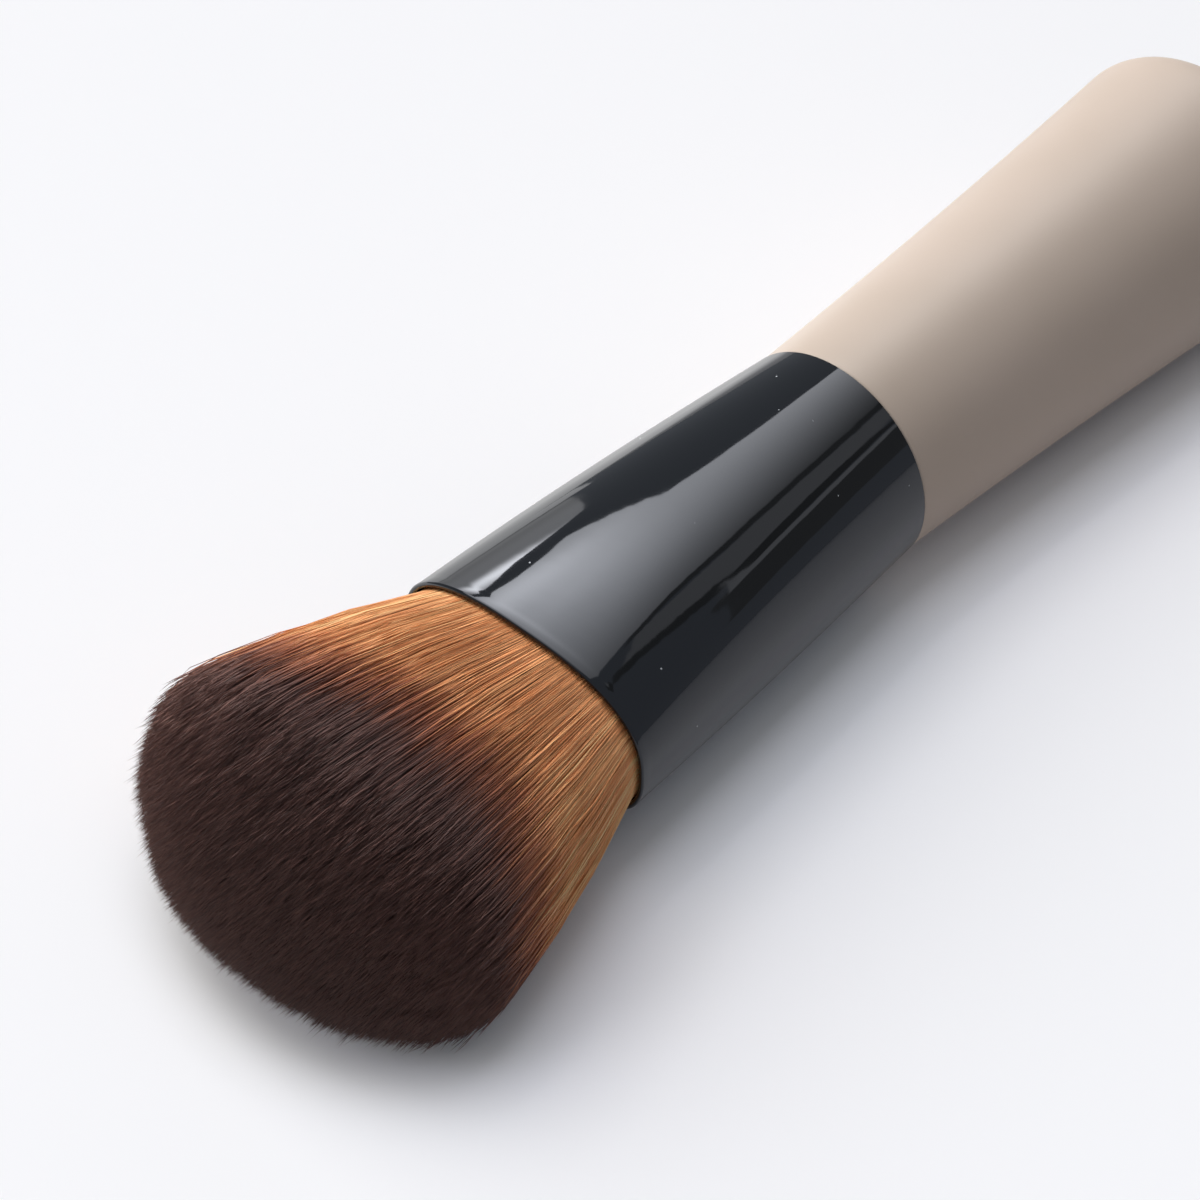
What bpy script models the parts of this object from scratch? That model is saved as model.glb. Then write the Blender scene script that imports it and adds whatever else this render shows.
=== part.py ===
# Foundation brush lying on a table, its hair towards -Y and its handle towards +Y. Metres, +Z up.
# Every piece is drawn standing on the handle's butt, with the hair on top, and the whole brush is then laid down.
import math
import random

import bmesh
import bpy
from mathutils import Vector
from mathutils.geometry import delaunay_2d_cdt

MM = 0.001

# Handle: turned wood, from the butt up to the shoulder that the ferrule meets
HANDLE_LENGTH = 53.0 * MM
BUTT_RADIUS = 13.0 * MM
BUTT_EDGE_RADIUS = 3.0 * MM
SHOULDER_EDGE_RADIUS = 0.25 * MM
FLARE_HOLLOW = 0.25 * MM
HANDLE_SIDE_POINTS = 12
HANDLE_EDGE_POINTS = 5

# Tenon: turned on the handle, slides into the ferrule
TENON_LENGTH = 15.0 * MM
TENON_CHAMFER = 0.8 * MM
GLUE_GROOVE_WIDTH = 6.0 * MM
GLUE_GROOVE_HEIGHT = (TENON_LENGTH - GLUE_GROOVE_WIDTH) / 2
GLUE_GROOVE_DEPTH = 0.8 * MM

# Ferrule: drawn metal sleeve, round on the tenon and oval at the mouth
FERRULE_LENGTH = 38.3 * MM
FERRULE_RADIUS = 10.25 * MM
SHOULDER_STEP = 0.1 * MM
SHOULDER_RADIUS = FERRULE_RADIUS - SHOULDER_STEP
FERRULE_WALL = 0.45 * MM
MOUTH_OVERHANG = 0.1 * MM
MOUTH_HALF_WIDTH = BUTT_RADIUS + MOUTH_OVERHANG
MOUTH_HALF_THICKNESS = 7.8 * MM
LIP_SWELL = 0.12 * MM
LIP_LENGTH = 0.9 * MM
ROUND_EXPONENT = 2.0
MOUTH_EXPONENT = 2.57
FLATTENING_POWER = 2.6
FERRULE_RINGS = 12
LIP_RINGS = 6

# Resin plug that holds the root of the hair, with a waist for the thread
PLUG_CHAMFER = 0.5 * MM
PLUG_FOOT_LENGTH = 4.5 * MM
WAIST_HEIGHT = TENON_LENGTH + PLUG_FOOT_LENGTH
WAIST_DEPTH = 1.6 * MM

# Thread tied round the root of the hair
THREAD_RADIUS = 0.35 * MM
THREAD_PITCH = 1.15 * MM
THREAD_TURNS = 5
THREAD_POINTS_PER_TURN = 24

# Tuft: strands fused to the top slice of the bonded root
TUFT_LENGTH = 33.2 * MM
TUFT_SPREAD = 5.0 * MM
TUFT_HALF_WIDTH = MOUTH_HALF_WIDTH + TUFT_SPREAD
TUFT_SETTLING = 0.7 * MM
TUFT_HALF_THICKNESS = BUTT_RADIUS - TUFT_SETTLING
BELLY_HEIGHT = 21.5 * MM
BEND_SHARE = 0.65
ROOT_RECESS = 0.8 * MM
ROOT_SLICE = 2.5 * MM
TIP_TAPER = 3.0 * MM
TIP_SCATTER = 0.8 * MM
ROOT_FILL_SHARE = 0.75
BEND_FILL_SHARE = 0.87
TIP_FILL_SHARE = 0.61
STRAND_SIDES = 3
HALF_ROWS = 10
HALF_PLACES = 11
SPREAD_POWER = 1.42
DOME_POWER = 1.8
RIM_SHARE = 1.03
SCATTER_SEED = 7

# Clearances between pieces that seat in or on each other
SEAT_GAP = 0.2 * MM
HAIR_GAP = 0.3 * MM

# Facets round a full turn
TURN_STEPS = 64
SMOOTH_ANGLE = math.radians(32)
MERGE_DISTANCE = 0.01 * MM

# Heights above the butt
FERRULE_BASE = HANDLE_LENGTH + SEAT_GAP
MOUTH_HEIGHT = FERRULE_BASE + FERRULE_LENGTH
BRUSH_LENGTH = MOUTH_HEIGHT + TUFT_LENGTH

# Colours, sRGB
HANDLE_COLOUR = "#D2C0B2"
FERRULE_COLOUR = "#101315"
TUFT_COLOUR = "#7A4526"
RESIN_COLOUR = "#D9CDA8"
THREAD_COLOUR = "#E9E4D8"
GLUE_COLOUR = "#E6DFC6"


def clear_scene():
    for item in list(bpy.data.objects):
        bpy.data.objects.remove(item, do_unlink=True)


def linear_colour(code):
    values = []
    for channel in bytes.fromhex(code.lstrip("#")):
        value = channel / 255
        values.append(value / 12.92 if value <= 0.04045 else ((value + 0.055) / 1.055) ** 2.4)
    return (*values, 1.0)


def make_material(name, colour, roughness, metallic=0.0):
    material = bpy.data.materials.new(name)
    material.use_nodes = True
    surface = material.node_tree.nodes["Principled BSDF"]
    surface.inputs["Base Color"].default_value = linear_colour(colour)
    surface.inputs["Roughness"].default_value = roughness
    surface.inputs["Metallic"].default_value = metallic
    material.diffuse_color = linear_colour(colour)
    return material


def add_piece(name, data, material, height):
    piece = bpy.data.objects.new(name, data)
    brush.objects.link(piece)
    piece.parent = laid_down
    piece.location = (0, 0, height)
    data.materials.append(material)
    return piece


def mesh_from(shape, name):
    bmesh.ops.recalc_face_normals(shape, faces=shape.faces)
    mesh = bpy.data.meshes.new(name)
    shape.to_mesh(mesh)
    shape.free()
    for face in mesh.polygons:
        face.use_smooth = True
    mesh.set_sharp_from_angle(angle=SMOOTH_ANGLE)
    return mesh


# A turned piece: its profile, read from the top down, goes once round the brush's axis
def turned_piece(name, profile, closed, material, height):
    mesh = bpy.data.meshes.new(name)
    edges = [(place, place + 1) for place in range(len(profile) - 1)]
    if closed:
        edges.append((len(profile) - 1, 0))
    mesh.from_pydata([(radius, 0, z) for radius, z in profile], edges, [])
    piece = add_piece(name, mesh, material, height)
    turn = piece.modifiers.new("turn", "SCREW")
    turn.axis = "Z"
    turn.angle = math.tau
    turn.steps = TURN_STEPS
    turn.render_steps = TURN_STEPS
    turn.use_merge_vertices = True
    turn.merge_threshold = MERGE_DISTANCE
    turn.use_smooth_shade = True
    return piece


def arc(centre, radius, start, end, count):
    points = []
    for step in range(count + 1):
        angle = math.radians(start + (end - start) * step / count)
        points.append((centre[0] + radius * math.cos(angle), centre[1] + radius * math.sin(angle)))
    return points


# One point of an oval whose sides square up as the exponent grows past a circle's
def oval_point(half_width, half_thickness, exponent, angle):
    cosine = math.cos(angle)
    sine = math.sin(angle)
    x = math.copysign(abs(cosine) ** (ROUND_EXPONENT / exponent), cosine)
    y = math.copysign(abs(sine) ** (ROUND_EXPONENT / exponent), sine)
    return half_width * x, half_thickness * y


# Half width, half thickness and exponent of the ferrule's outside, at a height above its round end
def ferrule_section(height):
    share = max(height, 0) / FERRULE_LENGTH
    half_width = FERRULE_RADIUS + (MOUTH_HALF_WIDTH - FERRULE_RADIUS) * share
    half_thickness = FERRULE_RADIUS + (MOUTH_HALF_THICKNESS - FERRULE_RADIUS) * share ** FLATTENING_POWER
    exponent = ROUND_EXPONENT + (MOUTH_EXPONENT - ROUND_EXPONENT) * share
    return half_width, half_thickness, exponent


def ferrule_ring(height, inset):
    half_width, half_thickness, exponent = ferrule_section(height)
    ring = []
    for step in range(TURN_STEPS):
        angle = math.tau * step / TURN_STEPS
        x, y = oval_point(half_width - inset, half_thickness - inset, exponent, angle)
        ring.append((x, y, height))
    return ring


# A loft through rings of unlike sections: a solid with two end faces, or a shell whose last ring meets its first
def loft(rings, is_shell):
    shape = bmesh.new()
    levels = [[shape.verts.new(point) for point in ring] for ring in rings]
    pairs = list(zip(levels, levels[1:]))
    if is_shell:
        pairs.append((levels[-1], levels[0]))
    for low, high in pairs:
        for place in range(TURN_STEPS):
            after = (place + 1) % TURN_STEPS
            shape.faces.new((low[place], low[after], high[after], high[place]))
    if not is_shell:
        shape.faces.new(levels[0])
        shape.faces.new(levels[-1])
    return shape


# The tenon keeps its gap to the ferrule's thinner way, which draws in towards the mouth
def tenon_radius(height):
    half_thickness = ferrule_section(height - SEAT_GAP)[1]
    return half_thickness - FERRULE_WALL - SEAT_GAP


def flare_radius(share):
    straight = BUTT_RADIUS + (SHOULDER_RADIUS - BUTT_RADIUS) * share
    return straight - FLARE_HOLLOW * 4 * share * (1 - share)


def make_handle():
    groove_top = GLUE_GROOVE_HEIGHT + GLUE_GROOVE_WIDTH
    profile = [(0, TENON_LENGTH)]
    profile.append((tenon_radius(TENON_LENGTH) - TENON_CHAMFER, TENON_LENGTH))
    profile.append((tenon_radius(TENON_LENGTH - TENON_CHAMFER), TENON_LENGTH - TENON_CHAMFER))
    profile.append((tenon_radius(groove_top), groove_top))
    profile.append((tenon_radius(groove_top) - GLUE_GROOVE_DEPTH, groove_top))
    profile.append((tenon_radius(groove_top) - GLUE_GROOVE_DEPTH, GLUE_GROOVE_HEIGHT))
    profile.append((tenon_radius(GLUE_GROOVE_HEIGHT), GLUE_GROOVE_HEIGHT))
    profile.append((tenon_radius(0), 0))
    shoulder_edge = (SHOULDER_RADIUS - SHOULDER_EDGE_RADIUS, -SHOULDER_EDGE_RADIUS)
    profile += arc(shoulder_edge, SHOULDER_EDGE_RADIUS, 90, 0, HANDLE_EDGE_POINTS - 2)
    for step in range(1, HANDLE_SIDE_POINTS + 1):
        share = 1 - step / HANDLE_SIDE_POINTS
        z = -SHOULDER_EDGE_RADIUS - (1 - share) * (HANDLE_LENGTH - SHOULDER_EDGE_RADIUS - BUTT_EDGE_RADIUS)
        profile.append((flare_radius(share), z))
    butt_edge = (BUTT_RADIUS - BUTT_EDGE_RADIUS, BUTT_EDGE_RADIUS - HANDLE_LENGTH)
    profile += arc(butt_edge, BUTT_EDGE_RADIUS, 0, -90, HANDLE_EDGE_POINTS)[1:]
    profile.append((0, -HANDLE_LENGTH))
    lacquer = make_material("beige_lacquer", HANDLE_COLOUR, 0.5)
    turned_piece("handle", profile, False, lacquer, HANDLE_LENGTH)


# The cured glue that fills the tenon's groove and keeps the ferrule on
def make_tenon_glue():
    low = GLUE_GROOVE_HEIGHT + SEAT_GAP
    high = GLUE_GROOVE_HEIGHT + GLUE_GROOVE_WIDTH - SEAT_GAP
    outer = tenon_radius(GLUE_GROOVE_HEIGHT + GLUE_GROOVE_WIDTH)
    inner = outer - GLUE_GROOVE_DEPTH + SEAT_GAP
    profile = [(outer, high), (outer, low), (inner, low), (inner, high)]
    glue = make_material("cured_glue", GLUE_COLOUR, 0.35)
    turned_piece("tenon_glue", profile, True, glue, HANDLE_LENGTH)


# The ferrule's wall as rings: up the outside, over the swollen lip, down the inside
def make_ferrule():
    lip_radius = FERRULE_WALL / 2 + LIP_SWELL / 2
    lip_base = FERRULE_LENGTH - lip_radius
    rings = []
    for step in range(FERRULE_RINGS + 1):
        rings.append(ferrule_ring((FERRULE_LENGTH - LIP_LENGTH) * step / FERRULE_RINGS, 0))
    for step in range(LIP_RINGS + 1):
        angle = math.pi * step / LIP_RINGS
        inset = lip_radius - LIP_SWELL - lip_radius * math.cos(angle)
        rings.append(ferrule_ring(lip_base + lip_radius * math.sin(angle), inset))
    for step in range(FERRULE_RINGS + 1):
        rings.append(ferrule_ring((FERRULE_LENGTH - LIP_LENGTH) * (1 - step / FERRULE_RINGS), FERRULE_WALL))
    black = make_material("gloss_black_ferrule", FERRULE_COLOUR, 0.12, 0.0)
    add_piece("ferrule", mesh_from(loft(rings, True), "ferrule"), black, FERRULE_BASE)


def waist_length():
    return THREAD_PITCH * THREAD_TURNS + THREAD_RADIUS * 2 + HAIR_GAP * 2


def root_slice_base():
    return FERRULE_LENGTH - ROOT_RECESS - ROOT_SLICE


def make_glue_plug():
    side = FERRULE_WALL + HAIR_GAP
    base = TENON_LENGTH
    top = root_slice_base() - SEAT_GAP
    waist_top = WAIST_HEIGHT + waist_length()
    rings = [ferrule_ring(base, side + PLUG_CHAMFER)]
    rings.append(ferrule_ring(base + PLUG_CHAMFER, side))
    rings.append(ferrule_ring(WAIST_HEIGHT, side))
    rings.append(ferrule_ring(WAIST_HEIGHT, side + WAIST_DEPTH))
    rings.append(ferrule_ring(waist_top, side + WAIST_DEPTH))
    rings.append(ferrule_ring(waist_top, side))
    rings.append(ferrule_ring((waist_top + top) / 2, side))
    rings.append(ferrule_ring(top, side))
    resin = make_material("cast_resin", RESIN_COLOUR, 0.25)
    add_piece("glue_plug", mesh_from(loft(rings, False), "glue_plug"), resin, FERRULE_BASE)


# The thread climbs the waist in one unbroken winding
def make_root_binding():
    inset = FERRULE_WALL + HAIR_GAP + WAIST_DEPTH - THREAD_RADIUS - HAIR_GAP
    start = WAIST_HEIGHT + HAIR_GAP + THREAD_RADIUS
    points = []
    for step in range(THREAD_TURNS * THREAD_POINTS_PER_TURN + 1):
        turns = step / THREAD_POINTS_PER_TURN
        height = start + THREAD_PITCH * turns
        half_width, half_thickness, exponent = ferrule_section(height)
        x, y = oval_point(half_width - inset, half_thickness - inset, exponent, math.tau * turns)
        points.append(Vector((x, y, height)))
    curve = bpy.data.curves.new("root_binding", "CURVE")
    curve.dimensions = "3D"
    curve.bevel_depth = THREAD_RADIUS
    curve.bevel_resolution = 1
    curve.use_fill_caps = True
    line = curve.splines.new("POLY")
    line.points.add(len(points) - 1)
    for place, point in enumerate(points):
        line.points[place].co = (*point, 1)
    cotton = make_material("white_thread", THREAD_COLOUR, 0.9)
    add_piece("root_binding", curve, cotton, FERRULE_BASE)
    least = least_gap_to_itself(points)
    print(f"root_binding least gap to itself {least / MM:.2f} mm")


def least_gap_to_itself(points):
    least = THREAD_PITCH * THREAD_TURNS
    half_turn = THREAD_POINTS_PER_TURN // 2
    for place, point in enumerate(points):
        for other in points[place + half_turn:]:
            least = min(least, (point - other).length - THREAD_RADIUS * 2)
    return least


# Places of the strands in a unit oval, in rows that each shift half a place from the last
def strand_places():
    places = []
    for row in range(-HALF_ROWS, HALF_ROWS + 1):
        for column in range(-HALF_PLACES, HALF_PLACES + 1):
            x = (column + (row % 2) / 2) / HALF_PLACES
            y = row / HALF_ROWS
            if oval_share(x, y) <= RIM_SHARE:
                places.append((x, y))
    return places


def oval_share(x, y):
    return (abs(x) ** MOUTH_EXPONENT + abs(y) ** MOUTH_EXPONENT) ** (1 / MOUTH_EXPONENT)


# Half sizes of the tuft at a height above the mouth: it spreads to its belly and then keeps its width
def tuft_section(height):
    spread = 1 - (1 - min(max(height, 0) / BELLY_HEIGHT, 1)) ** SPREAD_POWER
    inside = FERRULE_WALL + HAIR_GAP
    mouth_width, mouth_thickness, _ = ferrule_section(FERRULE_LENGTH + min(height, 0))
    half_width = (mouth_width - inside) / RIM_SHARE * (1 - spread) + TUFT_HALF_WIDTH * spread
    half_thickness = (mouth_thickness - inside) / RIM_SHARE * (1 - spread) + TUFT_HALF_THICKNESS * spread
    return half_width, half_thickness


# The radius at which strands at this height would touch, across the brush or through it
def touching_radius(height):
    half_width, half_thickness = tuft_section(height)
    across = half_width / HALF_PLACES / (2 * math.sin(math.pi / STRAND_SIDES))
    through = half_thickness / HALF_ROWS / (1 + math.cos(math.pi / STRAND_SIDES))
    return min(across, through)


# The hair settles towards the table until its belly touches it, as the butt does
def tuft_sag(height):
    return TUFT_SETTLING * max(height, 0) / BELLY_HEIGHT


def strand_ring(place, height, fill_share):
    half_width, half_thickness = tuft_section(height)
    radius = touching_radius(height) * fill_share
    x = place[0] * (half_width - radius)
    y = place[1] * (half_thickness - radius) - tuft_sag(height)
    ring = []
    for side in range(STRAND_SIDES):
        angle = math.tau * (side / STRAND_SIDES + 1 / 4)
        ring.append((x + radius * math.cos(angle), y + radius * math.sin(angle), height))
    return ring


# The dome: the nearer a strand is to the rim, the shorter it is
def strand_height(place):
    share = min(oval_share(*place), 1)
    return BELLY_HEIGHT + (TUFT_LENGTH - BELLY_HEIGHT) * (1 - share ** DOME_POWER) ** (1 / DOME_POWER)


# The slice's top face is the web left between the strands' roots
def add_root_slice(shape, roots):
    inset = FERRULE_WALL + HAIR_GAP
    rim = ferrule_ring(FERRULE_LENGTH - ROOT_RECESS, inset)
    flat_points = [Vector((x, y)) for x, y, z in rim]
    owners = [None] * len(rim)
    triangles = []
    for number, root in enumerate(roots):
        triangles.append(tuple(range(len(flat_points), len(flat_points) + STRAND_SIDES)))
        flat_points += [Vector((x, y)) for x, y, z in root]
        owners += [number] * STRAND_SIDES
    result = delaunay_2d_cdt(flat_points, [], triangles, 0, 0)
    corners = [shape.verts.new((point.x, point.y, -ROOT_RECESS)) for point in flat_points]
    origins = [sources[0] for sources in result[3]]
    for face in result[2]:
        indices = [origins[corner] for corner in face]
        numbers = {owners[index] for index in indices}
        if len(numbers) > 1 or None in numbers:
            shape.faces.new([corners[index] for index in indices])
    base = [shape.verts.new((x, y, z - FERRULE_LENGTH)) for x, y, z in ferrule_ring(root_slice_base(), inset)]
    for place in range(TURN_STEPS):
        after = (place + 1) % TURN_STEPS
        shape.faces.new((base[place], base[after], corners[after], corners[place]))
    shape.faces.new(base)
    return corners[len(rim):]


def add_strand(shape, root, place, height):
    rings = [root]
    for level, fill_share in ((BELLY_HEIGHT * BEND_SHARE, BEND_FILL_SHARE), (height - TIP_TAPER, TIP_FILL_SHARE)):
        rings.append([shape.verts.new(point) for point in strand_ring(place, level, fill_share)])
    for low, high in zip(rings, rings[1:]):
        for side in range(STRAND_SIDES):
            after = (side + 1) % STRAND_SIDES
            shape.faces.new((low[side], low[after], high[after], high[side]))
    tip = shape.verts.new(strand_ring(place, height, 0)[0])
    for side in range(STRAND_SIDES):
        shape.faces.new((rings[-1][side], rings[-1][(side + 1) % STRAND_SIDES], tip))


def make_tuft():
    scatter = random.Random(SCATTER_SEED)
    places = strand_places()
    shape = bmesh.new()
    roots = [strand_ring(place, -ROOT_RECESS, ROOT_FILL_SHARE) for place in places]
    corners = add_root_slice(shape, roots)
    for number, place in enumerate(places):
        root = corners[number * STRAND_SIDES:(number + 1) * STRAND_SIDES]
        shortening = TIP_SCATTER * scatter.random() if place != (0, 0) else 0
        add_strand(shape, root, place, strand_height(place) - shortening)
    hair = make_material("two_tone_hair", TUFT_COLOUR, 0.55)
    add_piece("tuft", mesh_from(shape, "tuft"), hair, MOUTH_HEIGHT)
    print(f"tuft strands {len(places)}")


clear_scene()
brush = bpy.data.collections.new("foundation_brush")
bpy.context.scene.collection.children.link(brush)
laid_down = bpy.data.objects.new("laid_down", None)
brush.objects.link(laid_down)
laid_down.location = (0, BRUSH_LENGTH / 2, BUTT_RADIUS)
laid_down.rotation_euler = (math.pi / 2, 0, 0)

make_handle()
make_tenon_glue()
make_ferrule()
make_glue_plug()
make_root_binding()
make_tuft()
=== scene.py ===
# Foundation brush on a white table: two-tone hair, gloss black ferrule, beige lacquered handle
import math

import bmesh
import bpy
import numpy as np
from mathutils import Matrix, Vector


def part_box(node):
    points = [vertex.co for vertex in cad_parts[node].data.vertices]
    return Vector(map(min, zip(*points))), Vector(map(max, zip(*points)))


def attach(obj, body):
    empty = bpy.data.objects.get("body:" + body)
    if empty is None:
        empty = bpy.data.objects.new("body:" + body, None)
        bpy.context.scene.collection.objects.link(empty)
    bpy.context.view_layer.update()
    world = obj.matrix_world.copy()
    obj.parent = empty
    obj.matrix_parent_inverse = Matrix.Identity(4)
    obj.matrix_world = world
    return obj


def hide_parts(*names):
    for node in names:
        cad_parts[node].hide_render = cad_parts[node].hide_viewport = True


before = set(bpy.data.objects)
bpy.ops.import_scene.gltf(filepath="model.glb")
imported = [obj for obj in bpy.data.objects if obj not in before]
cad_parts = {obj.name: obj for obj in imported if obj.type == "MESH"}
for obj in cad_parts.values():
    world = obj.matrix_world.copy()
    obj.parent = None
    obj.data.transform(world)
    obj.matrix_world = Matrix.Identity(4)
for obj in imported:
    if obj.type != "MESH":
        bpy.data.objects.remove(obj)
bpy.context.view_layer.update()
mm = 0.001
scene = bpy.context.scene


def linear(code):  # "#RRGGBB" in sRGB, to the linear colour that nodes take
    parts = [int(code[i:i + 2], 16) / 255 for i in (1, 3, 5)]
    return tuple(c / 12.92 if c <= 0.04045 else ((c + 0.055) / 1.055) ** 2.4 for c in parts) + (1.0,)


def addNode(tree, kind, settings=None, inputs=None):  # inputs: name or place, to a socket or a value
    node = tree.nodes.new(kind)
    for name, value in (settings or {}).items():
        setattr(node, name, value)
    for name, source in (inputs or {}).items():
        if isinstance(source, bpy.types.NodeSocket):
            tree.links.new(source, node.inputs[name])
        else:
            node.inputs[name].default_value = source
    return node


def newMaterial(name):
    material = bpy.data.materials.new(name)
    material.use_nodes = True
    tree = material.node_tree
    return material, tree, tree.nodes["Principled BSDF"]


def setRamp(node, stops):  # stops: (position, colour code)
    ramp = node.color_ramp
    while len(ramp.elements) > len(stops):
        ramp.elements.remove(ramp.elements[-1])
    while len(ramp.elements) < len(stops):
        ramp.elements.new(1.0)
    for element, (position, code) in zip(ramp.elements, stops):
        element.position = position
        element.color = linear(code)


def addObject(name, data, material):
    thing = bpy.data.objects.new(name, data)
    scene.collection.objects.link(thing)
    thing.data.materials.append(material)
    return thing


def smoothMesh(name, shape, sharpAngle):  # a smooth mesh from a bmesh, with its sharp edges kept
    bmesh.ops.recalc_face_normals(shape, faces=shape.faces)
    mesh = bpy.data.meshes.new(name)
    shape.to_mesh(mesh)
    shape.free()
    for face in mesh.polygons:
        face.use_smooth = True
    mesh.set_sharp_from_angle(angle=math.radians(sharpAngle))
    return mesh


# Where the frame puts the brush: its axis runs along Y, the hair points to -Y
def corners(node):
    low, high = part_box(node)
    return Vector(low), Vector(high)


handleLow, handleHigh = corners("handle")
ferruleLow, ferruleHigh = corners("ferrule")
tuftLow, tuftHigh = corners("tuft")
axisHeight = (handleLow.z + handleHigh.z) / 2
buttY = handleHigh.y
ferruleEndY = ferruleHigh.y
mouthY = ferruleLow.y
tipY = tuftLow.y
ferruleMiddleY = (mouthY + ferruleEndY) / 2
print("frame read")


# Camera, fitted to the outline in the photograph
camera = {
    "azimuth": 42.9,
    "elevation": 45.2,
    "distance": 286.9 * mm,
    "focalPixels": 3500,
    "framePixels": 1200,
    "sensor": 36.0,
    "aimX": -2.78 * mm,
    "aimFromMouth": 12.25 * mm,
    "nearest": 0.01,
    "farthest": 20,
}


def setCamera():
    azimuth = math.radians(camera["azimuth"])
    elevation = math.radians(camera["elevation"])
    level = math.cos(elevation)
    forward = Vector((-math.sin(azimuth) * level, math.cos(azimuth) * level, -math.sin(elevation)))
    aim = Vector((camera["aimX"], mouthY + camera["aimFromMouth"], axisHeight))
    data = bpy.data.cameras.new("camera")
    data.sensor_width = camera["sensor"]
    data.lens = camera["sensor"] * camera["focalPixels"] / camera["framePixels"]
    data.clip_start = camera["nearest"]
    data.clip_end = camera["farthest"]
    thing = bpy.data.objects.new("camera", data)
    thing.location = aim - forward * camera["distance"]
    thing.rotation_euler = forward.to_track_quat("-Z", "Y").to_euler()
    scene.collection.objects.link(thing)
    scene.camera = thing


setCamera()
print("camera set")


# Handle: a smooth turning with a soft lacquer
handle = {
    "shoulderRadius": 10.15 * mm,
    "shoulderEdge": 0.35 * mm,
    "shoulderSteps": 8,
    "flareHollow": 0.25 * mm,
    "buttEdge": 3.0 * mm,
    "buttSteps": 16,
    "sidePoints": 60,
    "steps": 160,
    "sharpAngle": 40,
    "lit": "#C1B0A2",
    "shade": "#BDAC9D",
    "driftSize": 16.67 * mm,      # the spray's slow drift of tone
    "driftStops": (0.35, 0.65),
    "roughness": (0.38, 0.47),
    "coat": (0.15, 0.3),          # weight and roughness
    "peelSize": 1.6 * mm,         # the lacquer's faint orange peel
    "peelDepth": 0.006 * mm,
}


def lacquerMaterial():  # matte lacquer sprayed on turned wood: even, soft sheen, faint orange peel
    material, tree, surface = newMaterial("beige_lacquer_sprayed")
    place = addNode(tree, "ShaderNodeTexCoord").outputs["Object"]
    drift = addNode(tree, "ShaderNodeTexNoise", inputs={
        "Vector": place, "Scale": 1 / handle["driftSize"], "Detail": 2.0}).outputs["Fac"]
    tone = addNode(tree, "ShaderNodeValToRGB", inputs={"Fac": drift})
    setRamp(tone, list(zip(handle["driftStops"], (handle["shade"], handle["lit"]))))
    tree.links.new(tone.outputs["Color"], surface.inputs["Base Color"])
    peel = addNode(tree, "ShaderNodeTexNoise", inputs={
        "Vector": place, "Scale": 1 / handle["peelSize"], "Detail": 3.0}).outputs["Fac"]
    bump = addNode(tree, "ShaderNodeBump", inputs={
        "Height": peel, "Strength": 1.0, "Distance": handle["peelDepth"]})
    tree.links.new(bump.outputs["Normal"], surface.inputs["Normal"])
    smoothest, roughest = handle["roughness"]
    rough = addNode(tree, "ShaderNodeMapRange", inputs={
        "Value": drift, "To Min": smoothest, "To Max": roughest})
    tree.links.new(rough.outputs["Result"], surface.inputs["Roughness"])
    surface.inputs["Coat Weight"].default_value = handle["coat"][0]
    surface.inputs["Coat Roughness"].default_value = handle["coat"][1]
    return material


def turned(name, profile, steps, material):  # profile: (radius, y), turned about the brush's axis
    shape = bmesh.new()
    rings = []
    for radius, y in profile:
        if radius == 0:
            rings.append([shape.verts.new((0, y, axisHeight))])
            continue
        ring = []
        for step in range(steps):
            angle = math.tau * step / steps
            x, z = radius * math.cos(angle), radius * math.sin(angle)
            ring.append(shape.verts.new((x, y, axisHeight + z)))
        rings.append(ring)
    for low, high in zip(rings, rings[1:]):
        for step in range(steps):
            after = (step + 1) % steps
            if len(low) == 1:
                shape.faces.new((low[0], high[step], high[after]))
            elif len(high) == 1:
                shape.faces.new((low[step], high[0], low[after]))
            else:
                shape.faces.new((low[step], high[step], high[after], low[after]))
    return addObject(name, smoothMesh(name, shape, handle["sharpAngle"]), material)


def makeHandle():
    buttRadius = axisHeight - handleLow.z
    shoulderRadius = handle["shoulderRadius"]
    edge = handle["shoulderEdge"]
    soft = handle["buttEdge"]
    profile = [(0, ferruleEndY), (shoulderRadius - edge, ferruleEndY)]
    for step in range(1, handle["shoulderSteps"] + 1):
        angle = math.radians(90 * step / handle["shoulderSteps"])
        radius = shoulderRadius - edge + edge * math.sin(angle)
        profile.append((radius, ferruleEndY + edge - edge * math.cos(angle)))
    for step in range(1, handle["sidePoints"] + 1):
        share = step / handle["sidePoints"]
        radius = shoulderRadius + (buttRadius - shoulderRadius) * share
        radius -= handle["flareHollow"] * 4 * share * (1 - share)  # deepest halfway
        profile.append((radius, ferruleEndY + edge + (buttY - soft - ferruleEndY - edge) * share))
    for step in range(1, handle["buttSteps"] + 1):
        angle = math.radians(90 * step / handle["buttSteps"])
        profile.append((buttRadius - soft + soft * math.cos(angle), buttY - soft + soft * math.sin(angle)))
    profile.append((0, buttY))
    piece = turned("handle_turning", profile, handle["steps"], lacquerMaterial())
    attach(piece, "root")
    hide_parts("handle")


makeHandle()
print("handle made")


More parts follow.
